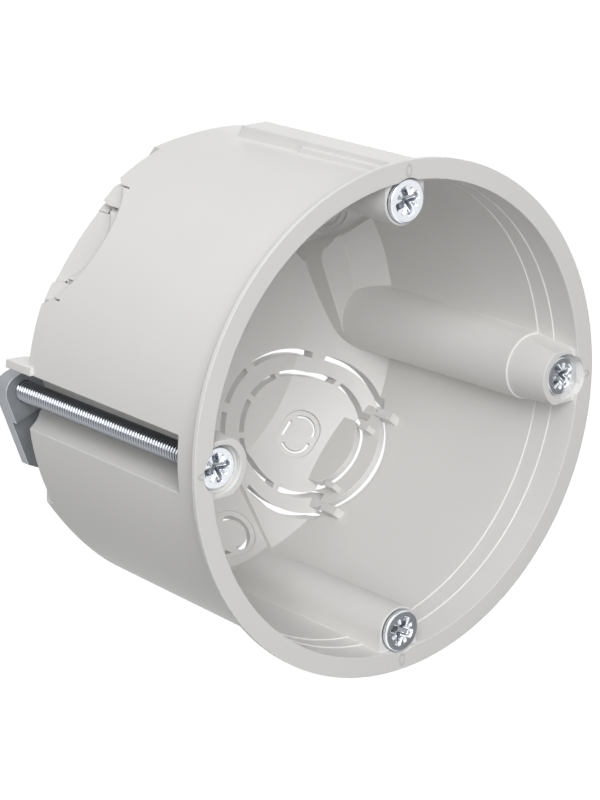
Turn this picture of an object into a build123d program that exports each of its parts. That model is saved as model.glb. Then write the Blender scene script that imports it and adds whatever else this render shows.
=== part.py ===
from build123d import *
from math import atan2, cos, degrees, radians, sin, tan
import os

os.makedirs("parts", exist_ok=True)

# Round box for hollow walls. The box's axis is Y: the open front faces -Y and
# the floor lies at the rear. +Z is 12 o'clock and +X is 3 o'clock, as seen from
# the front. The origin is on the axis, in the plane of the wall's surface.
# Depths are counted rearwards from the rim's front face, in millimetres.

# Body
body_radius = 33.9
body_depth = 49.0
body_taper = 0.5
wall = 1.5
slope_height = 9.1
slope_width = 10.33
flange_overhang = 1.6
flange_thickness = 0.7
rim_step = 0.15
rim_step_depths = (4.5, 7.5)

# Ribs outside the body at 12 and 6 o'clock
rib_width = 4.2
rib_height = 1.35
rib_setback = 6.9
rib_foot_width = 5.7
rib_foot_height = 0.5
rib_foot_end = 18.7
rib_run_out = 1.2

# Bosses and screws that hold a device, at 12 and 6 o'clock, 60 mm apart
device_inset = 2.4
device_boss_radius = 3.35
device_boss_depth = 0.8
device_boss_setback = 10.4
device_boss_slant = 8.0
device_screw_radius = 1.6
device_screw_length = 24.0
device_tip_room = 1.0
device_head_radius = 2.95
device_head_depth = 0.15
device_head_rim = 0.65
device_head_bore_radius = 3.12
device_screw_turns = (20.0, 65.0)

# Clamp tubes, channels and screws at 3 and 9 o'clock
clamp_inset = 1.6
channel_half_width = 3.9
channel_front_depth = 5.7
tube_wall = 1.4
tube_draft = 0.45
tube_shoulder = 0.25
tube_face_depth = 0.7
tube_face_radius = 4.25
tube_face_half_width = 3.8
clamp_head_bore_radius = 3.25
clamp_bore_skin = 0.2
clamp_notch_depth = 0.4
clamp_head_radius = 2.8
clamp_head_depth = 1.3
clamp_head_rim = 0.6
clamp_screw_radius = 1.5
clamp_screw_setback = 0.6
clamp_screw_turns = (35.0, 10.0)
fin_thickness = 1.1
fin_setback = 4.8

# Screws: seats and cross recesses
head_cone_angle = 45.0
seat_clearance = 0.08
shank_clearance = 0.06
screw_tip = 0.5
recess_span = 3.5
recess_width = 0.85
recess_depth = 1.5
recess_taper = 9.0

# Claws and their pockets
claw_half_width = 3.1
claw_length = 12.6
claw_tail = 2.7
claw_tail_rounding = 2.3
claw_tip_chamfer = 1.7
claw_thickness = 1.6
claw_lean = 20.4
claw_setback = 2.5
claw_root_length = 3.6
claw_root_thickness = 2.7
claw_collar_radius = 2.15
claw_collar_length = 1.3
claw_edge = 0.25
pocket_clearance = 0.3
pocket_tip_clearance = 0.6
pocket_corner = 0.8

# Large double knock-outs across the rear edge, first the outer, then the inner
big_azimuth = 131.3
big_centre = 4.8
big_ring_radii = (12.2, 9.2)
slit_width = 0.8
slope_bow = 2.6
plate_insets = (2.3, 3.6)
plate_half_widths = (8.95, 5.5)
plate_arc_radii = (9.8, 6.6)
plate_arc_heights = (5.27, 4.9)
plate_thickness = 1.1
window_arc_radii = (11.2, 6.95)
window_arc_heights = (3.37, 4.9)
big_bridge_angles = ((-163.0, -114.0, 114.0, 163.0), (-144.5, -90.0, 90.0, 144.5, 180.0))
big_bridge_widths = (1.5, 0.9)
bar_places = ((5.4, 8.3), (5.4, 5.1))
bar_sizes = ((3.3, 1.3), (1.9, 0.9))
bar_proud = 0.3
bar_reach = 1.9

# Small knock-outs on the rear slope
small_bridge = 1.1
recess_skin = 0.4
recess_margin = 0.75
eye_size = (6.0, 4.4)
eye_place = (4.6, 0.3)
eye_slit = 0.35
eye_bridge_angles = (44.0, 136.0, 266.0)
narrow_size = (14.3, 5.6)
narrow_place = (8.65, 0.0)
narrow_slit = 0.6
flat_azimuth = 41.3
flat_size = (17.4, 6.4)
flat_place = (6.7, 0.0)
flat_slit = 0.5
facet_margin = 1.5
slot_bridge_angles = (40.0, 140.0, 220.0, 320.0)

flange_radius = body_radius + flange_overhang
inner_radius = body_radius - wall
floor_radius = inner_radius - slope_width
floor_depth = body_depth - wall
slope_front_depth = floor_depth - slope_height
slope_angle = atan2(slope_height, slope_width)
outer_floor_radius = floor_radius + wall * tan(slope_angle / 2)
tube_radius = channel_half_width + tube_wall
clamp_axis_radius = inner_radius - clamp_inset
device_axis_radius = inner_radius - device_inset
claw_rear_depth = body_depth - claw_setback
pocket_front_depth = claw_rear_depth - claw_root_thickness - pocket_clearance
pocket_end = claw_length + pocket_tip_clearance
clear = 5.0


def depth_to_y(depth):
    return depth - flange_thickness


def front_plane(depth):
    """Plane across the box at a depth, seen from the front: x right, y up."""
    return Plane(origin=(0, depth_to_y(depth), 0), x_dir=(1, 0, 0), z_dir=(0, -1, 0))


def slab(sketch, front, rear):
    """Solid with the sketch's outline between two depths."""
    return extrude(front_plane(rear) * sketch, rear - front)


def turned(points):
    """Solid of revolution about the box's axis from (radius, depth) points."""
    outline = Polyline([(radius, depth_to_y(depth)) for radius, depth in points], close=True)
    return revolve(make_face(outline), Axis.Y)


def turned_at(points, x, z):
    """Solid of revolution about a line parallel to the box's axis."""
    return Pos(x, 0, z) * turned(points)


def twin(shape):
    """The shape and its copy half a turn round the box's axis."""
    return shape + Rot(0, 180, 0) * shape


def outward(azimuth):
    """Direction away from the axis at an azimuth, clockwise from 12 o'clock."""
    return Vector(sin(radians(azimuth)), 0, cos(radians(azimuth)))


def slope_plane(azimuth):
    """Plane on the inner slope: x runs outwards from its lower edge, z to the rear."""
    out = outward(azimuth)
    along = out * cos(slope_angle) - Vector(0, sin(slope_angle), 0)
    through = out * sin(slope_angle) + Vector(0, cos(slope_angle), 0)
    edge = out * floor_radius + Vector(0, depth_to_y(floor_depth), 0)
    return Plane(origin=edge, x_dir=along, z_dir=through)


def floor_plane(azimuth):
    """Plane on the inner floor: x runs outwards from the slope's lower edge, z to the rear."""
    edge = outward(azimuth) * floor_radius + Vector(0, depth_to_y(floor_depth), 0)
    return Plane(origin=edge, x_dir=outward(azimuth), z_dir=(0, 1, 0))


def upright_plane(azimuth, distance):
    """Plane parallel to the axis: x runs to the rear, z outwards."""
    return Plane(origin=outward(azimuth) * distance, x_dir=(0, 1, 0), z_dir=outward(azimuth))


def along_axis(plane, sketch, front):
    """Solid of a sketch on the slope or the floor, drawn out along the box's axis."""
    return extrude(Pos(0, -front, 0) * (plane * sketch), front + clear, dir=(0, 1, 0))


def beyond(azimuth, distance, half_width):
    """Block outside a plane parallel to the axis, between two sides."""
    strip = Rectangle(3 * body_depth, 2 * half_width)
    return extrude(upright_plane(azimuth, distance) * strip, body_radius)


def spokes(angles, width, length):
    """Bars out from the centre, which leave bridges in a slit."""
    return [Rot(0, 0, angle) * Pos(length / 2, 0) * Rectangle(length, width) for angle in angles]


def outer_form():
    """The outside as one turned solid, with its thin rim, slight draft and rear slope."""
    rear_radius = body_radius - body_taper
    return turned((
        (0, 0),
        (flange_radius, 0),
        (flange_radius, flange_thickness),
        (body_radius, flange_thickness),
        (rear_radius, body_depth - (rear_radius - outer_floor_radius) * tan(slope_angle)),
        (outer_floor_radius, body_depth),
        (0, body_depth),
    ))


def inner_form():
    """The hollow as one turned solid, with the two fine steps behind the rim."""
    first, second = rim_step_depths
    return turned((
        (0, -clear),
        (inner_radius + 2 * rim_step, -clear),
        (inner_radius + 2 * rim_step, first),
        (inner_radius + rim_step, first),
        (inner_radius + rim_step, second),
        (inner_radius, second),
        (inner_radius, slope_front_depth),
        (floor_radius, floor_depth),
        (0, floor_depth),
    ))


def towards_rim(width, distance):
    """Rectangle from a point at 3 o'clock out to past the wall."""
    length = body_radius + clear - distance
    return Pos(distance + length / 2, 0) * Rectangle(length, width)


def tube_section(front, rear, radii, half_widths):
    """Round core and the block that joins it to the wall, both wider at the rear."""
    core = turned_at(((0, front), (radii[0], front), (radii[1], rear), (0, rear)), clamp_axis_radius, 0)
    side = make_face(Polyline(
        (depth_to_y(front), -half_widths[0]),
        (depth_to_y(front), half_widths[0]),
        (depth_to_y(rear), half_widths[1]),
        (depth_to_y(rear), -half_widths[1]),
        close=True))
    block = extrude(Plane.YZ.offset(clamp_axis_radius) * side, body_radius - clamp_axis_radius)
    limit = extrude(Plane.YZ * side, 2 * body_radius)
    return (core & limit) + block


def tube():
    """Clamp tube at 3 o'clock, with its flat-sided front end, still solid inside."""
    shoulder_depth = rim_step_depths[1]
    front_radius = tube_radius - tube_draft
    nose_radius = front_radius - tube_shoulder
    body = tube_section(shoulder_depth, body_depth, (front_radius, tube_radius), (front_radius, tube_radius))
    return body + tube_section(tube_face_depth, shoulder_depth, (tube_face_radius, nose_radius),
                               (tube_face_half_width, nose_radius))


def claw_frame(depth):
    """Plane across the folded claw at 3 o'clock: x runs from its hub to its tip."""
    lean = radians(claw_lean)
    return Plane(origin=(clamp_axis_radius, depth_to_y(depth), 0),
                 x_dir=(-sin(lean), 0, cos(lean)), z_dir=(0, -1, 0))


def pocket_outline(half_width, end, corner):
    """Outline of the claw's pocket, from its hub to its tip."""
    reach = end + tube_radius
    block = Pos(end - reach / 2, 0) * Rectangle(reach, 2 * half_width)
    tip_corners = block.vertices().filter_by(lambda v: v.X > 0)
    return Circle(half_width) + fillet(tip_corners, corner) - Pos(-reach, 0) * Rectangle(
        2 * reach, 4 * half_width)


def pocket_wall():
    """Bulge inside the box, round the folded claw's pocket."""
    outline = pocket_outline(tube_radius, pocket_end + tube_wall, pocket_corner + tube_wall)
    front = pocket_front_depth - tube_wall
    return extrude(claw_frame(body_depth) * outline, body_depth - front)


def pocket():
    """Room for the folded claw, cut from the rear."""
    rear = body_depth + clear
    outline = pocket_outline(channel_half_width, pocket_end, pocket_corner)
    sideways = Pos(clear, channel_half_width - clear) * Rectangle(2 * pocket_end, 2 * clear)
    open_side = outline + sideways - Pos(pocket_end + clear, 0) * Rectangle(2 * clear, 4 * clear)
    return extrude(claw_frame(rear) * open_side, rear - pocket_front_depth)


def channel():
    """Outside channel at 3 o'clock, in which the claw travels."""
    sketch = Pos(clamp_axis_radius, 0) * Circle(channel_half_width) + towards_rim(
        2 * channel_half_width, clamp_axis_radius)
    return slab(sketch, channel_front_depth, body_depth + clear)


def clamp_head_seat():
    """Bore for a clamp screw's head, which only notches the rim and leaves the wall whole."""
    bore = head_seat(clamp_axis_radius, 0, clamp_head_radius, clamp_head_bore_radius, clamp_screw_radius,
                     clamp_head_depth + clamp_head_rim + seat_clearance, channel_front_depth + clear)
    skin_radius = body_radius - clamp_bore_skin
    within = turned(((0, -clear), (skin_radius, -clear), (skin_radius, body_depth), (0, body_depth)))
    notch = slab(Pos(clamp_axis_radius, 0) * Circle(clamp_head_bore_radius), -clear, clamp_notch_depth)
    return (bore & within) + notch


def head_seat(axis_x, axis_z, head_radius, bore_radius, shank_radius, seat_depth, end_depth):
    """Bore for a screw: head room, countersunk seat and hole for the shank."""
    hole_radius = shank_radius + shank_clearance
    slope = tan(radians(head_cone_angle))
    seat_start = seat_depth - (bore_radius - head_radius - seat_clearance) * slope
    return turned_at((
        (0, -clear),
        (bore_radius, -clear),
        (bore_radius, seat_start),
        (hole_radius, seat_start + (bore_radius - hole_radius) * slope),
        (hole_radius, end_depth),
        (0, end_depth),
    ), axis_x, axis_z)


def fin():
    """Rear end of the channel's lower wall at 3 o'clock, the claw's stop."""
    fin_depth = body_depth - fin_setback
    outline = make_face(Polyline(
        (clamp_axis_radius, depth_to_y(slope_front_depth)),
        (body_radius, depth_to_y(slope_front_depth)),
        (body_radius, depth_to_y(fin_depth)),
        (clamp_axis_radius, depth_to_y(fin_depth) - fin_thickness / 2),
        (clamp_axis_radius - fin_thickness, depth_to_y(fin_depth) - 2 * fin_thickness),
        close=True))
    blade = extrude(Pos(0, 0, -channel_half_width - fin_thickness) * outline, fin_thickness)
    limit = turned(((0, 0), (body_radius, 0), (body_radius, body_depth), (0, body_depth)))
    return blade & limit


def device_boss():
    """Boss for the device's screw at 12 o'clock, with its slanted rear end."""
    length = body_radius - device_axis_radius
    front_of_slant = slope_front_depth - device_boss_setback
    sketch = Pos(0, device_axis_radius) * Circle(device_boss_radius) + Pos(
        0, device_axis_radius + length / 2) * Rectangle(2 * device_boss_radius, length)
    rear = front_of_slant + device_boss_slant
    inner_edge = device_axis_radius - device_boss_radius
    above_slant = Plane.YZ * make_face(Polyline(
        (depth_to_y(front_of_slant), inner_edge),
        (depth_to_y(rear), inner_radius),
        (depth_to_y(rear) + clear, inner_radius),
        (depth_to_y(rear) + clear, inner_edge - clear),
        (depth_to_y(front_of_slant), inner_edge - clear),
        close=True))
    return slab(sketch, device_boss_depth, rear) - extrude(above_slant, body_radius, both=True)


def rib():
    """Rib outside the body at 12 o'clock, with its wider foot in the front half."""
    def bar(width, height, rear, run_out):
        top = body_radius + height
        side = Plane.YZ * make_face(Polyline(
            (depth_to_y(flange_thickness), inner_radius + wall / 3),
            (depth_to_y(flange_thickness), top),
            (depth_to_y(rear), top),
            (depth_to_y(rear) + run_out, inner_radius + wall / 3),
            close=True))
        return extrude(side, width / 2, both=True)
    return bar(rib_width, rib_height, slope_front_depth - rib_setback, rib_run_out) + bar(
        rib_foot_width, rib_foot_height, rib_foot_end, rib_run_out / 2)


def arched(radius, height, half_width):
    """Upright outline: an arch at the front, straight sides back to the floor."""
    centre = depth_to_y(floor_depth - height)
    sides = Pos(centre + clear, 0) * Rectangle(2 * clear, 2 * half_width)
    return (Pos(centre, 0) * Circle(radius) & Rectangle(4 * body_depth, 2 * half_width)) + sides


def ring_slit(radius, angles, bridge):
    """Slit round one knock-out, as a circle on the slope that runs on over the floor."""
    def band(stretch, centre, spread, side):
        ring = Ellipse((radius + slit_width / 2) * stretch, radius + slit_width / 2) - Ellipse(
            (radius - slit_width / 2) * stretch, radius - slit_width / 2)
        turns = [degrees(atan2(sin(radians(angle)), cos(radians(angle)) * spread)) for angle in angles]
        ring = Pos(centre, 0) * (ring - spokes(turns, bridge, 2 * radius))
        return ring & Pos(side * radius * 2, 0) * Rectangle(4 * radius, 4 * radius)
    stretch = 1 / cos(slope_angle)
    on_slope = along_axis(slope_plane(big_azimuth), band(1, big_centre, 1, 1), slope_bow)
    on_floor = along_axis(floor_plane(big_azimuth), band(stretch, big_centre * stretch, stretch, -1), clear)
    return on_slope + on_floor


def big_knock_out(shell, outside):
    """Both nested knock-outs of one corner: slits, upright plates, windows and bars."""
    plate_faces = [inner_radius - inset for inset in plate_insets]
    window_faces = (plate_faces[0] + plate_thickness, plate_faces[0])
    for index, face in enumerate(plate_faces):
        half_width = plate_half_widths[index]
        upright = upright_plane(big_azimuth, face)
        window_centre = depth_to_y(floor_depth - window_arc_heights[index])
        window = extrude(upright_plane(big_azimuth, window_faces[index]) * Pos(window_centre, 0) * Circle(
            window_arc_radii[index]), body_radius)
        opening = extrude(upright * arched(window_arc_radii[index], window_arc_heights[index], half_width),
                          body_radius)
        plate = extrude(upright * arched(plate_arc_radii[index], plate_arc_heights[index], half_width),
                        plate_thickness)
        slit = ring_slit(big_ring_radii[index], big_bridge_angles[index], big_bridge_widths[index])
        shell = shell - opening - window + (plate & outside)
        shell = shell - (slit - beyond(big_azimuth, face, half_width))
    for index, face in enumerate(plate_faces):
        foot_depth = floor_depth - (face - floor_radius) * tan(slope_angle)
        ahead, aside = bar_places[index]
        for side in (-1, 1):
            bar = Pos(depth_to_y(foot_depth - ahead), side * aside) * Rectangle(*bar_sizes[index])
            shell = shell + extrude(upright_plane(big_azimuth, face - bar_proud) * bar, bar_proud + bar_reach)
    return shell


def slot_ring(size, slit, angles):
    """Slit along a slot's outline, with bridges at some angles."""
    length, width = size
    ring = SlotOverall(length, width) - SlotOverall(length - 2 * slit, width - 2 * slit)
    return ring - spokes(angles, small_bridge, length)


def small_knock_out(azimuth, place, size, slit, angles):
    """Shallow dish in the inner slope and the slit inside it."""
    at = Pos(*place) * Rot(0, 0, 90)
    plane = slope_plane(azimuth)
    outline = at * SlotOverall(size[0] + 2 * recess_margin, size[1] + 2 * recess_margin)
    dish = extrude(plane.offset(-clear) * outline, clear + recess_skin)
    return dish + extrude(plane.offset(-clear) * at * slot_ring(size, slit, angles), 2 * clear)


def facet(azimuth, size):
    """Flat stretch of the slope for a long knock-out: the hollow before it and its wall."""
    length = slope_height / sin(slope_angle)
    half_width = size[0] / 2 + facet_margin
    plane = slope_plane(azimuth)
    sketch = Pos(length / 2, 0) * Rectangle(length, 2 * half_width)
    hollow = extrude(plane.offset(-clear) * sketch, clear) & turned((
        (0, 0), (inner_radius, 0), (inner_radius, floor_depth), (0, floor_depth)))
    rear_radius = body_radius - body_taper
    backing = extrude(plane * Rectangle(3 * length, 2 * (half_width + wall)), wall) & turned((
        (0, 0), (rear_radius, 0), (rear_radius, body_depth), (0, body_depth)))
    return hollow, backing


def housing():
    """The moulded box, one piece with its knock-outs, tubes, bosses and ribs."""
    outside = outer_form()
    hollow = inner_form()
    for facet_hollow, backing in (facet(0, narrow_size), facet(flat_azimuth, flat_size)):
        outside = outside + twin(backing)
        hollow = hollow + twin(facet_hollow)
    fittings = twin(tube()) + twin(pocket_wall()) + twin(device_boss())
    shell = outside - (hollow - fittings)
    half = Rot(0, 180, 0)
    for _ in (0, 1):
        shell = half * big_knock_out(shell, outside)
    device_seat = head_seat(0, device_axis_radius, device_head_radius, device_head_bore_radius,
                            device_screw_radius, device_head_depth + device_head_rim + seat_clearance,
                            device_head_depth + device_screw_length + device_tip_room)
    eye = small_knock_out(big_azimuth, eye_place, eye_size, eye_slit, eye_bridge_angles)
    narrow = small_knock_out(0, narrow_place, narrow_size, narrow_slit, slot_bridge_angles)
    flat = small_knock_out(flat_azimuth, flat_place, flat_size, flat_slit, slot_bridge_angles)
    for cut in (channel(), pocket(), clamp_head_seat(), device_seat, eye, narrow, flat):
        shell = shell - twin(cut)
    return shell + twin(rib()) + twin(fin())


def cross_recess():
    """Cross recess that narrows inwards, cut into a head from a plane at z = 0."""
    cross = Rectangle(recess_span, recess_width) + Rectangle(recess_width, recess_span)
    return extrude(cross, -recess_depth, taper=recess_taper)


def screw(x, z, head_radius, head_depth, head_rim, shank_radius, end_depth, turn):
    """Countersunk screw with a flat head, parallel to the box's axis."""
    cone_end = head_depth + head_rim + (head_radius - shank_radius) * tan(radians(head_cone_angle))
    body = turned_at((
        (0, head_depth),
        (head_radius, head_depth),
        (head_radius, head_depth + head_rim),
        (shank_radius, cone_end),
        (shank_radius, end_depth - screw_tip),
        (shank_radius - screw_tip, end_depth),
        (0, end_depth),
    ), x, z)
    head_plane = Plane(origin=(x, depth_to_y(head_depth), z), x_dir=(1, 0, 0), z_dir=(0, -1, 0))
    return body - head_plane * Rot(0, 0, turn) * cross_recess()


def claw():
    """Folded claw at 3 o'clock: a flat arm with a thicker root round the clamp screw."""
    reach = claw_length + claw_tail
    arm = Pos(claw_length - reach / 2, 0) * Rectangle(reach, 2 * claw_half_width)
    arm = chamfer(arm.vertices().filter_by(lambda v: v.X > 0), claw_tip_chamfer)
    arm = fillet(arm.vertices().filter_by(lambda v: v.X < -claw_tail / 2), claw_tail_rounding)
    root = arm - Pos(claw_root_length + clear, 0) * Rectangle(2 * clear, 3 * claw_half_width)
    plate = extrude(claw_frame(claw_rear_depth) * arm, claw_thickness)
    block = extrude(claw_frame(claw_rear_depth - claw_thickness / 2) * root,
                    claw_root_thickness - claw_thickness / 2)
    collar_end = claw_rear_depth + claw_collar_length
    collar = turned_at((
        (0, claw_rear_depth - claw_thickness / 2),
        (claw_collar_radius, claw_rear_depth - claw_thickness / 2),
        (claw_collar_radius, collar_end - claw_edge),
        (claw_collar_radius - claw_edge, collar_end),
        (0, collar_end),
    ), clamp_axis_radius, 0)
    hole = extrude(claw_frame(body_depth) * Circle(clamp_screw_radius + shank_clearance), 2 * clear)
    return plate + block + collar - hole


nodes = {"housing": housing()}
device_end = device_head_depth + device_screw_length
for name, z, turn in zip(("top", "bottom"), (device_axis_radius, -device_axis_radius), device_screw_turns):
    nodes[f"device_screw_{name}"] = screw(0, z, device_head_radius, device_head_depth, device_head_rim,
                                          device_screw_radius, device_end, turn)
clamp_end = body_depth - clamp_screw_setback
for name, x, turn in zip(("right", "left"), (clamp_axis_radius, -clamp_axis_radius), clamp_screw_turns):
    nodes[f"clamp_screw_{name}"] = screw(x, 0, clamp_head_radius, clamp_head_depth, clamp_head_rim,
                                         clamp_screw_radius, clamp_end, turn)
nodes["claw_right"] = claw()
nodes["claw_left"] = Rot(0, 180, 0) * claw()

for name, shape in nodes.items():
    export_step(shape, f"parts/{name}.step")
    print(name, "solids", len(shape.solids()), "volume", round(shape.volume, 2))
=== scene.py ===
"""Looks of a round box for hollow walls: moulded body, plated screws and claws, studio."""

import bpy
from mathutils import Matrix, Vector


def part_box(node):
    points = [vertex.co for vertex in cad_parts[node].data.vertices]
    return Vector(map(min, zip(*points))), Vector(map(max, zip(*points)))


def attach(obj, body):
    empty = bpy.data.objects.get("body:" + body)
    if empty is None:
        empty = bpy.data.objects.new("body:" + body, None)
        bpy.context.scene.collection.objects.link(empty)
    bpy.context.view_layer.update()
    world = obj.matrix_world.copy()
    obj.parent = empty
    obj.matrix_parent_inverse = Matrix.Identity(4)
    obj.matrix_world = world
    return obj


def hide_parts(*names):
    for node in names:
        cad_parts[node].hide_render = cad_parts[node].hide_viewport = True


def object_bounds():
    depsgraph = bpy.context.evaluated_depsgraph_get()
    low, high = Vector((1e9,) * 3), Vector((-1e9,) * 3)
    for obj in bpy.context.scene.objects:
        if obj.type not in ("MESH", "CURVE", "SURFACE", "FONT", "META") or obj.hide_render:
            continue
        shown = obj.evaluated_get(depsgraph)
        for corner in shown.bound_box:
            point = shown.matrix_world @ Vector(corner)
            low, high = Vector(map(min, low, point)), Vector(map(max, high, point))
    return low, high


bl_info = {
    "name": "Drywall Back Box",
    "version": (1, 0, 0),
    "blender": (4, 5, 0),
    "location": "View3D > Sidebar > Back Box",
    "description": "Dresses a round hollow-wall box with its screws, claws and a studio",
    "category": "Object",
}

from math import cos, pi, radians, sin, tau

import bpy
from mathutils import Matrix, Vector

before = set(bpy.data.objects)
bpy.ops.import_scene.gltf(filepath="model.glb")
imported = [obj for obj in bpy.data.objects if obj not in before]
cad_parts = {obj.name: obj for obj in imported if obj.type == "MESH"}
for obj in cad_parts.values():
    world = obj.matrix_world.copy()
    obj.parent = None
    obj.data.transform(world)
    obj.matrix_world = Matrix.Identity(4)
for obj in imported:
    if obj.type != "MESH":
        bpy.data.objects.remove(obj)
cad_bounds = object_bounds()

MM = 0.001
CLAMP_SCREWS = ("clamp_screw_left", "clamp_screw_right")
DEVICE_SCREWS = ("device_screw_top", "device_screw_bottom")
CLAWS = ("claw_left", "claw_right")
# Turn of each head's cross, in degrees
DEVICE_TURNS = (20, 65)
CLAMP_TURNS = (10, 35)
# Height of each head's rim, and the shank's share of the head's radius
DEVICE_HEAD = (0.65 * MM, 0.542)
CLAMP_HEAD = (0.6 * MM, 0.536)
ROWS_PER_TURN = 10
# Where a thread's flank starts and ends between its groove and its crest
FLANK = (0.15, 0.9)
# The rim's marks: their middle's distance from the rim's edge, and where the line round one
# runs, with half its width, as shares of the mark's own half size
RIM_MARK_INSET = 1.4 * MM
MARK_LINE = 0.85
MARK_LINE_HALF_WIDTH = 0.22
# Point attribute: how much of the plate's colour is left by painted shade
UNSHADED_SHARE = "unshaded_share"
# Sizes of the cloudy patches and depths of the fine grain
PLASTIC_MOTTLE = 12 * MM
PLASTIC_RELIEF = 0.02 * MM
PLATE_MOTTLE = 1.1 * MM
PLATE_RELIEF = 0.012 * MM
# Place and side of each lamp, in metres
LAMP_ABOVE = ((-0.25, 0.05, 0.75), 0.6)
LAMP_IN_FRONT = ((-0.50, -0.68, 0.48), 0.7)
LAMP_BEHIND = ((0.60, 0.70, 0.0), 0.6)
FLOOR_HALF_SIDE = 3.0
# Turn from the box's axis and fall below the horizon, in degrees, of the grey card's edge
CARD_EDGE = ((44.4, 15.2), (40.5, 20.9))


def length_property(name, description, millimetres):
    """A length property whose default is given in millimetres."""
    return bpy.props.FloatProperty(
        name=name, description=description, default=millimetres * MM, min=0.0, precision=5,
        subtype="DISTANCE", unit="LENGTH")


def angle_property(name, description, degrees):
    """An angle property whose default is given in degrees."""
    return bpy.props.FloatProperty(
        name=name, description=description, default=radians(degrees), subtype="ANGLE")


def colour_property(name, description, colour):
    """A linear colour property."""
    return bpy.props.FloatVectorProperty(
        name=name, description=description, default=colour, size=4, min=0.0, max=1.0, subtype="COLOR")


def factor_property(name, description, value, highest=1.0):
    """A plain number from nought to a highest value."""
    return bpy.props.FloatProperty(
        name=name, description=description, default=value, min=0.0, max=highest)


class BackBoxPlastic(bpy.types.PropertyGroup):
    """Finish of the moulded box."""

    colour: colour_property("Colour", "Colour of the moulded plastic", (0.775, 0.768, 0.755, 1.0))
    shade: colour_property("Shade", "Darker tone of the faint flow marks", (0.745, 0.738, 0.725, 1.0))
    # Painted shade on the raised lines round the rim's oval marks
    line: colour_property("Line", "Dark tone beside the oval marks' lines", (0.30, 0.30, 0.29, 1.0))
    # Painted highlight along the plastic's sharp edges
    edge_highlight: colour_property("Edge colour", "Lighter tone of sharp edges", (0.84, 0.835, 0.82, 1.0))
    roughness: factor_property("Roughness", "Roughness of the moulded surface", 0.42)
    grain: length_property("Grain", "Size of the moulded surface's fine grain", 0.25)
    edge: length_property("Edge", "Radius of the softened moulded edges", 0.18)
    mark_length: length_property("Mark length", "Length of the rim's four oval marks", 1.8)
    mark_width: length_property("Mark width", "Width of the rim's four oval marks", 1.0)
    mark_depth: length_property("Mark depth", "Depth of the line round each oval mark", 0.12)


class BackBoxPlating(bpy.types.PropertyGroup):
    """Finish of the plated screws and claws."""

    screw: colour_property("Screw plate", "Colour of the screws' zinc plate", (0.80, 0.83, 0.87, 1.0))
    # Painted shade in the thread's grooves and the cross recess
    groove_shade: colour_property("Groove", "Dark tone in the grooves and recesses", (0.12, 0.13, 0.15, 1.0))
    claw: colour_property("Claw", "Colour of the pressed claws", (0.38, 0.40, 0.43, 1.0))
    roughness: factor_property("Roughness", "Roughness of the plate", 0.15)
    grain: length_property("Grain", "Size of the plate's fine grain", 0.12)


class BackBoxThreads(bpy.types.PropertyGroup):
    """Threads and cross recesses of the screws."""

    clamp_pitch: length_property("Clamp pitch", "Pitch of the clamp screws' thread", 0.55)
    clamp_depth: length_property("Clamp depth", "Depth of the clamp screws' thread", 0.3)
    device_pitch: length_property("Device pitch", "Pitch of the device screws' thread", 1.2)
    device_depth: length_property("Device depth", "Depth of the device screws' thread", 0.45)
    recess_span: length_property("Recess span", "Width of the cross recess over its arms", 4.0)
    recess_width: length_property("Recess width", "Width of one arm of the cross recess", 0.85)
    recess_depth: length_property("Recess depth", "Depth of the cross recess", 1.3)
    tick_depth: length_property("Tick depth", "Depth of the small diagonal ticks", 0.35)
    # Painted shade: the shanks' crests are drawn darker than the head
    shaded_thread_tone: factor_property("Thread tone", "Brightness of the crests beside the head's", 0.33)


class BackBoxStage(bpy.types.PropertyGroup):
    """Camera, lamps and floor."""

    camera: bpy.props.FloatVectorProperty(
        name="Camera", description="Place of the camera", size=3, subtype="XYZ", unit="LENGTH",
        default=(-0.2269, -0.2471, 0.1098))
    yaw: angle_property("Yaw", "Camera's turn from the box's axis", 40.21)
    pitch: angle_property("Pitch", "Camera's tilt below the horizon", 17.69)
    roll: angle_property("Roll", "Camera's roll", -0.10)
    lens: bpy.props.FloatProperty(
        name="Lens", description="Focal length in millimetres", default=119.4, min=10.0)
    floor_drop: length_property("Floor drop", "Distance of the floor below the rim", 400.0)
    floor_colour: colour_property("Floor colour", "Colour of the floor", (0.4, 0.4, 0.4, 1.0))
    key_power: factor_property("Key", "Power of the large lamp above", 1.7, 500.0)
    front_power: factor_property("Front", "Power of the lamp before the open side", 8.8, 500.0)
    back_power: factor_property("Back", "Power of the lamp behind the box", 1.2, 500.0)
    fill: factor_property("Fill", "Strength of the light from all round", 0.18, 10.0)
    card_colour: colour_property("Card colour", "Colour of the grey card", (0.4, 0.4, 0.42, 1.0))
    card_size: length_property("Card size", "Half the width of the grey card", 150.0)
    card_distance: length_property("Card distance", "Distance of the grey card from the box", 300.0)
    whiteness: factor_property("Whiteness", "Share of plain white seen in the floor", 0.93)


def material_named(name):
    """An empty node material, its tree and its shader."""
    material = bpy.data.materials.new(name)
    material.use_nodes = True
    tree = material.node_tree
    tree.nodes.clear()
    output = tree.nodes.new("ShaderNodeOutputMaterial")
    shader = tree.nodes.new("ShaderNodeBsdfPrincipled")
    tree.links.new(shader.outputs["BSDF"], output.inputs["Surface"])
    return material, tree, shader


def group_socket(group, name, kind, in_out, default=None):
    """One named socket of a node group."""
    socket = group.interface.new_socket(name=name, in_out=in_out, socket_type=kind)
    if default is not None:
        socket.default_value = default
    return socket


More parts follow.
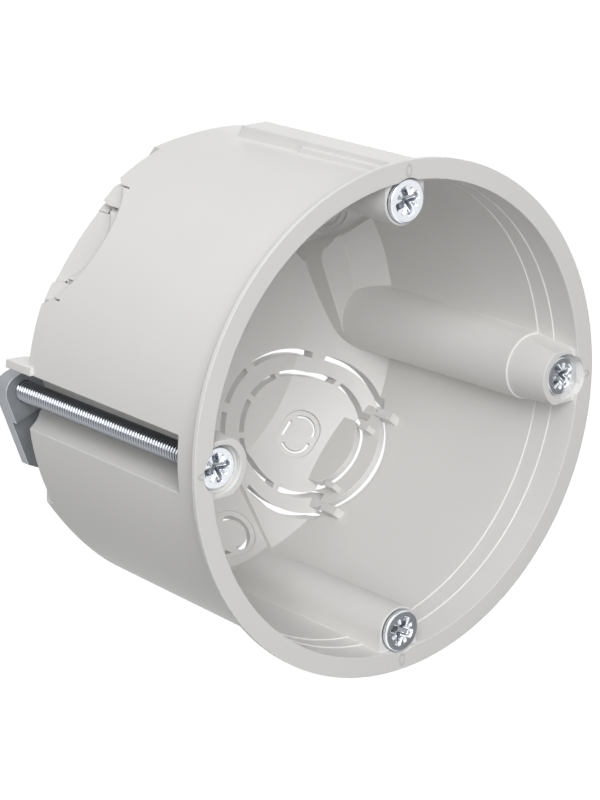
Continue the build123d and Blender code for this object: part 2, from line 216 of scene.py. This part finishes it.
def surface_grain_group():
    """Group shared by all finishes: soft mottling, fine height and a roughness value."""
    name = "surface grain"
    if name in bpy.data.node_groups:
        return bpy.data.node_groups[name]
    group = bpy.data.node_groups.new(name, "ShaderNodeTree")
    group_socket(group, "Grain Scale", "NodeSocketFloat", "INPUT", 4000.0)
    group_socket(group, "Mottle Scale", "NodeSocketFloat", "INPUT", 90.0)
    group_socket(group, "Base Roughness", "NodeSocketFloat", "INPUT", 0.4)
    group_socket(group, "Roughness Spread", "NodeSocketFloat", "INPUT", 0.08)
    group_socket(group, "Mottle", "NodeSocketFloat", "OUTPUT")
    group_socket(group, "Height", "NodeSocketFloat", "OUTPUT")
    group_socket(group, "Roughness", "NodeSocketFloat", "OUTPUT")
    nodes, links = group.nodes, group.links
    entry = nodes.new("NodeGroupInput")
    leave = nodes.new("NodeGroupOutput")
    place = nodes.new("ShaderNodeTexCoord")
    mottle = nodes.new("ShaderNodeTexNoise")
    mottle.inputs["Detail"].default_value = 3.0
    grain = nodes.new("ShaderNodeTexNoise")
    grain.inputs["Detail"].default_value = 4.0
    spread = nodes.new("ShaderNodeMath")
    spread.operation = "MULTIPLY_ADD"
    centred = nodes.new("ShaderNodeMath")
    centred.operation = "SUBTRACT"
    centred.inputs[1].default_value = 0.5
    for noise, scale in ((mottle, "Mottle Scale"), (grain, "Grain Scale")):
        links.new(place.outputs["Object"], noise.inputs["Vector"])
        links.new(entry.outputs[scale], noise.inputs["Scale"])
    links.new(mottle.outputs["Fac"], centred.inputs[0])
    links.new(centred.outputs[0], spread.inputs[0])
    links.new(entry.outputs["Roughness Spread"], spread.inputs[1])
    links.new(entry.outputs["Base Roughness"], spread.inputs[2])
    links.new(mottle.outputs["Fac"], leave.inputs["Mottle"])
    links.new(grain.outputs["Fac"], leave.inputs["Height"])
    links.new(spread.outputs[0], leave.inputs["Roughness"])
    return group


def edge_light_group():
    """Group shared by the edged finishes: softened normal and a mask along sharp edges, where highlights
    are painted.
    """
    name = "edge light"
    if name in bpy.data.node_groups:
        return bpy.data.node_groups[name]
    group = bpy.data.node_groups.new(name, "ShaderNodeTree")
    group_socket(group, "Radius", "NodeSocketFloat", "INPUT", 0.0002)
    group_socket(group, "Normal", "NodeSocketVector", "OUTPUT")
    group_socket(group, "Edge", "NodeSocketFloat", "OUTPUT")
    nodes, links = group.nodes, group.links
    entry = nodes.new("NodeGroupInput")
    leave = nodes.new("NodeGroupOutput")
    soft = nodes.new("ShaderNodeBevel")
    soft.samples = 8
    geometry = nodes.new("ShaderNodeNewGeometry")
    match = nodes.new("ShaderNodeVectorMath")
    match.operation = "DOT_PRODUCT"
    reach = nodes.new("ShaderNodeMapRange")
    # The mask rises as the softened normal leans away from the face's own
    for key, value in (("From Min", 0.99), ("From Max", 0.86), ("To Min", 0.0), ("To Max", 1.0)):
        reach.inputs[key].default_value = value
    links.new(entry.outputs["Radius"], soft.inputs["Radius"])
    links.new(soft.outputs["Normal"], match.inputs[0])
    links.new(geometry.outputs["Normal"], match.inputs[1])
    links.new(match.outputs["Value"], reach.inputs["Value"])
    links.new(soft.outputs["Normal"], leave.inputs["Normal"])
    links.new(reach.outputs["Result"], leave.inputs["Edge"])
    return group


def edge_node(tree, radius):
    """The shared edge group, placed in a material with its own radius."""
    node = tree.nodes.new("ShaderNodeGroup")
    node.node_tree = edge_light_group()
    node.inputs["Radius"].default_value = radius
    return node


def grain_node(tree, grain_size, mottle_size, roughness, spread):
    """The shared grain group, placed in a material with its own values."""
    node = tree.nodes.new("ShaderNodeGroup")
    node.node_tree = surface_grain_group()
    node.inputs["Grain Scale"].default_value = 1.0 / grain_size
    node.inputs["Mottle Scale"].default_value = 1.0 / mottle_size
    node.inputs["Base Roughness"].default_value = roughness
    node.inputs["Roughness Spread"].default_value = spread
    return node


def tone_mix(tree, factor, low, high):
    """Colour that runs from one tone, or a socket's colour, to another with a factor."""
    mix = tree.nodes.new("ShaderNodeMix")
    mix.data_type = "RGBA"
    if isinstance(low, bpy.types.NodeSocket):
        tree.links.new(low, mix.inputs["A"])
    else:
        mix.inputs["A"].default_value = low
    mix.inputs["B"].default_value = high
    tree.links.new(factor, mix.inputs["Factor"])
    return mix.outputs["Result"]


def relief(tree, height, distance, strength, normal=None):
    """Normal with a bump of one height over another normal."""
    bump = tree.nodes.new("ShaderNodeBump")
    bump.inputs["Strength"].default_value = strength
    bump.inputs["Distance"].default_value = distance
    tree.links.new(height, bump.inputs["Height"])
    if normal is not None:
        tree.links.new(normal, bump.inputs["Normal"])
    return bump.outputs["Normal"]


def vector_step(tree, operation, first, second=None):
    """One step of vector arithmetic; the second value is a socket or three numbers."""
    node = tree.nodes.new("ShaderNodeVectorMath")
    node.operation = operation
    tree.links.new(first, node.inputs[0])
    if isinstance(second, tuple):
        node.inputs[1].default_value = second
    elif second is not None:
        tree.links.new(second, node.inputs[1])
    return node.outputs["Value" if operation in ("LENGTH", "DOT_PRODUCT") else "Vector"]


def number_step(tree, operation, first, second):
    """One step of arithmetic on a socket and a socket or a number."""
    node = tree.nodes.new("ShaderNodeMath")
    node.operation = operation
    tree.links.new(first, node.inputs[0])
    if isinstance(second, float):
        node.inputs[1].default_value = second
    else:
        tree.links.new(second, node.inputs[1])
    return node.outputs[0]


def rim_marks(tree, finish):
    """Mask of the raised line round the oval marks on the rim, at 12, 3, 6 and 9 o'clock, which also sets
    where shade is painted on them.
    """
    low, high = cad_bounds
    middle = high.z - RIM_MARK_INSET
    long_way, short_way = finish.mark_length / 2, finish.mark_width / 2
    place = tree.nodes.new("ShaderNodeTexCoord").outputs["Object"]
    folded = vector_step(tree, "ABSOLUTE", place)
    nearest = None
    for centre, spans in (((0.0, 0.0, middle), (short_way, 1.0, long_way)),
                          ((middle, 0.0, 0.0), (long_way, 1.0, short_way))):
        offset = vector_step(tree, "SUBTRACT", folded, centre)
        reach = vector_step(tree, "LENGTH", vector_step(tree, "DIVIDE", offset, spans))
        nearest = reach if nearest is None else number_step(tree, "MINIMUM", nearest, reach)
    line = number_step(tree, "COMPARE", nearest, MARK_LINE)
    line.node.inputs[2].default_value = MARK_LINE_HALF_WIDTH
    front = tree.nodes.new("ShaderNodeSeparateXYZ")
    tree.links.new(place, front.inputs[0])
    on_face = number_step(tree, "LESS_THAN", front.outputs["Y"], low.y + 0.1 * MM)
    return number_step(tree, "MULTIPLY", line, on_face)


def moulded_plastic(finish):
    """Light grey satin plastic with a fine grain, faint flow marks, painted highlights along sharp edges
    and painted shade on the rim marks' lines.
    """
    material, tree, shader = material_named("moulded plastic")
    grain = grain_node(tree, finish.grain, PLASTIC_MOTTLE, finish.roughness, 0.10)
    edge = edge_node(tree, finish.edge)
    marks = rim_marks(tree, finish)
    colour = tone_mix(tree, grain.outputs["Mottle"], finish.shade, finish.colour)
    # Painted shade: the raised lines round the rim's marks are darkened
    mark_shaded = tone_mix(tree, number_step(tree, "MULTIPLY", marks, 0.3), colour, finish.line)
    # Painted highlight: sharp edges, concave and convex, are lightened
    light = tone_mix(tree, edge.outputs["Edge"], mark_shaded, finish.edge_highlight)
    tree.links.new(light, shader.inputs["Base Color"])
    tree.links.new(grain.outputs["Roughness"], shader.inputs["Roughness"])
    shader.inputs["IOR"].default_value = 1.49
    grained = relief(tree, grain.outputs["Height"], PLASTIC_RELIEF, 0.35, edge.outputs["Normal"])
    marked = relief(tree, marks, finish.mark_depth, 0.8, grained)
    tree.links.new(marked, shader.inputs["Normal"])
    return material


def plated_metal(name, finish, colour, roughness):
    """Zinc plate with a fine grain, slightly cloudy gloss and painted highlights along sharp edges."""
    material, tree, shader = material_named(name)
    grain = grain_node(tree, finish.grain, PLATE_MOTTLE, roughness, 0.16)
    edge = edge_node(tree, finish.grain)
    dull = [part * 0.86 for part in colour[:3]] + [1.0]
    cloudy = tone_mix(tree, grain.outputs["Mottle"], dull, colour)
    # Painted highlight: sharp edges are lightened towards the bright plate colour
    light = tone_mix(tree, edge.outputs["Edge"], cloudy, finish.screw)
    tree.links.new(light, shader.inputs["Base Color"])
    tree.links.new(grain.outputs["Roughness"], shader.inputs["Roughness"])
    shader.inputs["Metallic"].default_value = 0.55
    grained = relief(tree, grain.outputs["Height"], PLATE_RELIEF, 0.5, edge.outputs["Normal"])
    tree.links.new(grained, shader.inputs["Normal"])
    return material


def threaded_plate(name, finish, roughness):
    """Bright zinc plate with painted shade in the grooves of a thread and in the recess, and a darker
    shank.
    """
    material, tree, shader = material_named(name)
    grain = grain_node(tree, finish.grain, PLATE_MOTTLE, roughness, 0.16)
    unshaded_share = tree.nodes.new("ShaderNodeAttribute")
    unshaded_share.attribute_name = UNSHADED_SHARE
    # Painted shade: the plate darkens to the dark tone in the thread's grooves and the cross recess
    colour = tone_mix(tree, unshaded_share.outputs["Fac"], finish.groove_shade, finish.screw)
    tree.links.new(colour, shader.inputs["Base Color"])
    tree.links.new(grain.outputs["Roughness"], shader.inputs["Roughness"])
    shader.inputs["Metallic"].default_value = 1.0
    grained = relief(tree, grain.outputs["Height"], PLATE_RELIEF, 0.5)
    tree.links.new(grained, shader.inputs["Normal"])
    return material


def give(piece, material):
    """The piece shows this one material."""
    piece.data.materials.clear()
    piece.data.materials.append(material)


def smooth_step(low, high, value):
    """Nought below low, one above high and a smooth rise between."""
    share = min(max((value - low) / (high - low), 0.0), 1.0)
    return share * share * (3 - 2 * share)


def recess_drop(radius, angle, sizes):
    """Depth of the cross recess at a point of a head's face."""
    drop = 0.0
    soft, tick_half_width = 0.09 * MM, 0.22 * MM
    half_width, half_span = sizes.recess_width / 2, sizes.recess_span / 2
    for quarter in range(4):
        turned = angle - quarter * pi / 2
        along = radius * cos(turned)
        across = abs(radius * sin(turned))
        if along < -half_width:
            continue
        arm = 1 - smooth_step(half_width - soft, half_width + soft, across)
        end = 1 - smooth_step(half_span - 3 * soft, half_span + soft, along)
        slope = 1 - 0.55 * smooth_step(half_width, half_span, along)
        drop = max(drop, sizes.recess_depth * arm * end * slope)
        tick_along = radius * cos(turned - pi / 4)
        tick_across = abs(radius * sin(turned - pi / 4))
        if tick_along > 0:
            tick = 1 - smooth_step(soft, tick_half_width, tick_across)
            tick_end = 1 - smooth_step(0.84 * half_span, 0.96 * half_span, tick_along)
            drop = max(drop, sizes.tick_depth * tick * tick_end)
    return drop


def ring(centre, radius_at, place_at, steps):
    """One ring of points round a line parallel to the box's axis."""
    points = []
    for step in range(steps):
        angle = tau * step / steps
        radius = radius_at(angle)
        points.append((centre.x + radius * cos(angle), place_at(angle), centre.z + radius * sin(angle)))
    return points


def skin(rings, first_point, last_point):
    """Vertices and faces of a closed skin over rings, with a point at each end."""
    steps = len(rings[0])
    points = [first_point] + [point for one in rings for point in one] + [last_point]
    last = len(points) - 1
    faces = []
    for step in range(steps):
        following = (step + 1) % steps
        faces.append((0, 1 + following, 1 + step))
        for row in range(len(rings) - 1):
            start = 1 + row * steps
            below = start + steps
            faces.append((start + step, start + following, below + following, below + step))
        start = 1 + (len(rings) - 1) * steps
        faces.append((start + step, start + following, last))
    return points, faces


def head_skin(centre, front, head_radius, rim, neck_radius, turn, sizes):
    """Countersunk head: a face with its recess, a rounded rim and the cone below."""
    steps, rows, rim_rows = 96, 44, 4
    edge = 0.35 * rim
    face_radius = head_radius - edge
    rings = []
    for row in range(1, rows + 1):
        radius = face_radius * row / rows
        rings.append(ring(centre, lambda angle: radius,
                          lambda angle: front + recess_drop(radius, angle - turn, sizes), steps))
    for row in range(1, rim_rows + 1):
        sweep = row / rim_rows * pi / 2
        rings.append(ring(centre, lambda angle: face_radius + edge * sin(sweep),
                          lambda angle: front + edge * (1 - cos(sweep)), steps))
    rings.append(ring(centre, lambda angle: head_radius, lambda angle: front + rim, steps))
    cone = head_radius - neck_radius
    rings.append(ring(centre, lambda angle: neck_radius, lambda angle: front + rim + cone, steps))
    first = (centre.x, front + sizes.recess_depth, centre.z)
    last = (centre.x, front + rim + cone, centre.z)
    return skin(rings, first, last)


def thread_skin(centre, start, end, radius, pitch, depth):
    """Threaded shank with a right-hand helix, chamfered at its end."""
    steps = 32
    chamfer = 0.5 * MM
    rows = int((end - start) / pitch * ROWS_PER_TURN)
    rings = []
    for row in range(rows + 1):
        place = start + (end - start) * row / rows
        taper = max(0.0, chamfer - (end - place))

        def radius_at(angle):
            phase = (place / pitch + angle / tau) % 1.0
            flank = abs(2 * phase - 1)
            return min(radius - depth * (1 - smooth_step(*FLANK, flank)), radius - taper)

        rings.append(ring(centre, radius_at, lambda angle: place, steps))
    return skin(rings, (centre.x, start, centre.z), (centre.x, end, centre.z))


def mesh_piece(name, skins, unshaded_share_of):
    """One smooth mesh object from several closed skins, with each point's share of colour left by painted
    shade.
    """
    points, faces = [], []
    for skin_points, skin_faces in skins:
        first = len(points)
        points.extend(skin_points)
        faces.extend(tuple(first + index for index in face) for face in skin_faces)
    mesh = bpy.data.meshes.new(name)
    mesh.from_pydata(points, [], faces)
    mesh.update()
    mesh.shade_smooth()
    unshaded_share = mesh.attributes.new(UNSHADED_SHARE, "FLOAT", "POINT")
    unshaded_share.data.foreach_set("value", [unshaded_share_of(point) for point in points])
    piece = bpy.data.objects.new(name, mesh)
    bpy.context.scene.collection.objects.link(piece)
    return piece


def dressed_screw(node, head_form, pitch, depth, turn, sizes, material):
    """A threaded screw with its recess, in place of the plain one."""
    rim, shank_share = head_form
    low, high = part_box(node)
    centre = (low + high) / 2
    head_radius = (high.x - low.x) / 2
    shank_radius = head_radius * shank_share
    neck = low.y + rim + head_radius - shank_radius
    head = head_skin(centre, low.y, head_radius, rim, shank_radius, turn, sizes)
    shank = thread_skin(centre, neck - 0.2 * MM, high.y, shank_radius, pitch, depth)

    def unshaded_share_of(point):
        """Share of the plate's colour left by painted shade: one on the head's face and the thread's
        crests, nought deep in a recess or in the thread's grooves.
        """
        out = Vector((point[0] - centre.x, point[2] - centre.z)).length
        # Painted shade: the shank is drawn darker than the head and darkest in its grooves, and the cross
        # recess darkens with depth
        if point[1] >= neck - 0.1 * MM:
            return sizes.shaded_thread_tone * smooth_step(shank_radius - depth, shank_radius, out)
        if out < 0.9 * head_radius:
            return 1 - 0.7 * smooth_step(0.0, 0.6, (point[1] - low.y) / sizes.recess_depth)
        return 1.0

    piece = mesh_piece("dressed_" + node, (head, shank), unshaded_share_of)
    give(piece, material)
    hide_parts(node)
    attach(piece, node)
    return piece


class BACKBOX_OT_housing(bpy.types.Operator):
    """Gives the moulded box its plastic"""

    bl_idname = "back_box.housing"
    bl_label = "Moulded box"

    def execute(self, context):
        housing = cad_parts["housing"]
        give(housing, moulded_plastic(context.scene.back_box_plastic))
        return {"FINISHED"}


class BACKBOX_OT_device_screws(bpy.types.Operator):
    """Makes the two screws that hold a device"""

    bl_idname = "back_box.device_screws"
    bl_label = "Device screws"

    def execute(self, context):
        sizes = context.scene.back_box_threads
        finish = context.scene.back_box_plating
        material = threaded_plate("bright plate", finish, finish.roughness)
        for node, turn in zip(DEVICE_SCREWS, DEVICE_TURNS):
            piece = dressed_screw(node, DEVICE_HEAD, sizes.device_pitch, sizes.device_depth,
                                  radians(turn), sizes, material)
        return {"FINISHED"}


class BACKBOX_OT_clamp_screws(bpy.types.Operator):
    """Makes the two long screws that drive the claws"""

    bl_idname = "back_box.clamp_screws"
    bl_label = "Clamp screws"

    def execute(self, context):
        sizes = context.scene.back_box_threads
        finish = context.scene.back_box_plating
        material = threaded_plate("threaded plate", finish, finish.roughness)
        for node, turn in zip(CLAMP_SCREWS, CLAMP_TURNS):
            piece = dressed_screw(node, CLAMP_HEAD, sizes.clamp_pitch, sizes.clamp_depth,
                                  radians(turn), sizes, material)
        return {"FINISHED"}


class BACKBOX_OT_claws(bpy.types.Operator):
    """Gives the two claws their dull zinc plate"""

    bl_idname = "back_box.claws"
    bl_label = "Claws"

    def execute(self, context):
        finish = context.scene.back_box_plating
        material = plated_metal("dull plate", finish, finish.claw, finish.roughness + 0.25)
        for node in CLAWS:
            give(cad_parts[node], material)
        return {"FINISHED"}


def seen_directly(tree):
    """One for what the camera sees straight, in a reflection or through glass, nought otherwise."""
    path = tree.nodes.new("ShaderNodeLightPath").outputs
    mirrored = number_step(tree, "MAXIMUM", path["Is Camera Ray"], path["Is Glossy Ray"])
    return number_step(tree, "MAXIMUM", mirrored, path["Is Transmission Ray"])


def floor_material(settings):
    """Pale floor: plain white is added where it is seen, so that only the object's shadow shows."""
    material, tree, shader = material_named("pale floor")
    shader.inputs["Base Color"].default_value = settings.floor_colour
    shader.inputs["Roughness"].default_value = 0.9
    shader.inputs["Emission Color"].default_value = (1.0, 1.0, 1.0, 1.0)
    added = number_step(tree, "MULTIPLY", seen_directly(tree), settings.whiteness)
    tree.links.new(added, shader.inputs["Emission Strength"])
    return material


def area_lamp(name, place, size, target, power):
    """Soft square lamp that looks at a point."""
    data = bpy.data.lights.new(name, "AREA")
    data.shape = "SQUARE"
    data.size = size
    data.energy = power
    lamp = bpy.data.objects.new(name, data)
    lamp.location = place
    lamp.rotation_euler = (Vector(target) - Vector(place)).to_track_quat("-Z", "Y").to_euler()
    bpy.context.scene.collection.objects.link(lamp)


def direction(turn, fall):
    """Unit vector out of the open side, turned to 3 o'clock and falling below the horizon."""
    return Vector((cos(fall) * sin(turn), -cos(fall) * cos(turn), -sin(fall)))


def grey_card(settings):
    """Card to the lower right, seen only by reflections, which darkens some screw heads."""
    mesh = bpy.data.meshes.new("grey card")
    mesh.from_pydata([(-1, 0, 0), (1, 0, 0), (1, 2, 0), (-1, 2, 0)], [], [(0, 1, 2, 3)])
    card = bpy.data.objects.new("grey card", mesh)
    bpy.context.scene.collection.objects.link(card)
    upper, lower = (direction(radians(turn), radians(fall)) for turn, fall in CARD_EDGE)
    along = (upper - lower).normalized() * settings.card_size
    across = along.cross(upper)
    card.matrix_world = Matrix.Translation(upper * settings.card_distance) @ Matrix(
        (along, across, upper)).transposed().to_4x4()
    material, tree, shader = material_named("grey card")
    shader.inputs["Base Color"].default_value = settings.card_colour
    shader.inputs["Roughness"].default_value = 1.0
    give(card, material)
    for kind in ("camera", "diffuse", "transmission", "shadow", "volume_scatter"):
        setattr(card, "visible_" + kind, False)


def white_world(fill):
    """Even light from all round, and white where the camera or a reflection sees it."""
    world = bpy.data.worlds.new("studio")
    world.use_nodes = True
    tree = world.node_tree
    tree.nodes.clear()
    output = tree.nodes.new("ShaderNodeOutputWorld")
    mix = tree.nodes.new("ShaderNodeMixShader")
    lit = tree.nodes.new("ShaderNodeBackground")
    seen = tree.nodes.new("ShaderNodeBackground")
    lit.inputs["Strength"].default_value = fill
    seen.inputs["Strength"].default_value = 1.0
    for background in (lit, seen):
        background.inputs["Color"].default_value = (1.0, 1.0, 1.0, 1.0)
    tree.links.new(seen_directly(tree), mix.inputs["Fac"])
    tree.links.new(lit.outputs[0], mix.inputs[1])
    tree.links.new(seen.outputs[0], mix.inputs[2])
    tree.links.new(mix.outputs[0], output.inputs["Surface"])
    bpy.context.scene.world = world


class BACKBOX_OT_stage(bpy.types.Operator):
    """Makes the floor, the lamps and the camera"""

    bl_idname = "back_box.stage"
    bl_label = "Stage"

    def execute(self, context):
        settings = context.scene.back_box_stage
        low, high = cad_bounds
        level = low.z - settings.floor_drop
        half = FLOOR_HALF_SIDE
        corners = [(-half, -half, level), (half, -half, level), (half, half, level), (-half, half, level)]
        mesh = bpy.data.meshes.new("floor")
        mesh.from_pydata(corners, [], [(0, 1, 2, 3)])
        floor = bpy.data.objects.new("floor", mesh)
        context.scene.collection.objects.link(floor)
        give(floor, floor_material(settings))
        middle = (low + high) / 2
        area_lamp("lamp above", *LAMP_ABOVE, middle, settings.key_power)
        area_lamp("lamp in front", *LAMP_IN_FRONT, middle, settings.front_power)
        area_lamp("lamp behind", *LAMP_BEHIND, middle, settings.back_power)
        grey_card(settings)
        white_world(settings.fill)
        data = bpy.data.cameras.new("camera")
        data.lens = settings.lens
        data.sensor_width = 36.0
        data.clip_start = 0.01
        camera = bpy.data.objects.new("camera", data)
        camera.location = settings.camera
        camera.rotation_mode = "XYZ"
        camera.rotation_euler = (pi / 2 - settings.pitch, settings.roll, -settings.yaw)
        context.scene.collection.objects.link(camera)
        context.scene.camera = camera
        context.scene.view_settings.view_transform = "Standard"
        return {"FINISHED"}


class BACKBOX_PT_panel(bpy.types.Panel):
    """Lists the steps that dress the box"""

    bl_idname = "BACKBOX_PT_panel"
    bl_label = "Back Box"
    bl_space_type = "VIEW_3D"
    bl_region_type = "UI"
    bl_category = "Back Box"

    def draw(self, context):
        for group, operators in PANEL_ROWS:
            column = self.layout.column(align=True)
            settings = getattr(context.scene, group)
            for name in settings.__annotations__:
                column.prop(settings, name)
            for operator in operators:
                column.operator(operator)


PANEL_ROWS = (
    ("back_box_plastic", ("back_box.housing",)),
    ("back_box_threads", ()),
    ("back_box_plating", ("back_box.device_screws", "back_box.clamp_screws", "back_box.claws")),
    ("back_box_stage", ("back_box.stage",)),
)
SETTINGS = {
    "back_box_plastic": BackBoxPlastic,
    "back_box_plating": BackBoxPlating,
    "back_box_threads": BackBoxThreads,
    "back_box_stage": BackBoxStage,
}
OPERATORS = (
    BACKBOX_OT_housing,
    BACKBOX_OT_device_screws,
    BACKBOX_OT_clamp_screws,
    BACKBOX_OT_claws,
    BACKBOX_OT_stage,
)


def register():
    """Adds the settings, the operators and the panel."""
    for name, group in SETTINGS.items():
        bpy.utils.register_class(group)
        setattr(bpy.types.Scene, name, bpy.props.PointerProperty(type=group))
    for operator in OPERATORS:
        bpy.utils.register_class(operator)
    bpy.utils.register_class(BACKBOX_PT_panel)


def unregister():
    """Takes the panel, the operators and the settings away again."""
    bpy.utils.unregister_class(BACKBOX_PT_panel)
    for operator in reversed(OPERATORS):
        bpy.utils.unregister_class(operator)
    for name, group in SETTINGS.items():
        delattr(bpy.types.Scene, name)
        bpy.utils.unregister_class(group)


def main():
    """Registers the add-on and runs its steps in order."""
    register()
    for _, operators in PANEL_ROWS:
        for operator in operators:
            area, step = operator.split(".")
            getattr(getattr(bpy.ops, area), step)()


if __name__ == "__main__":
    main()
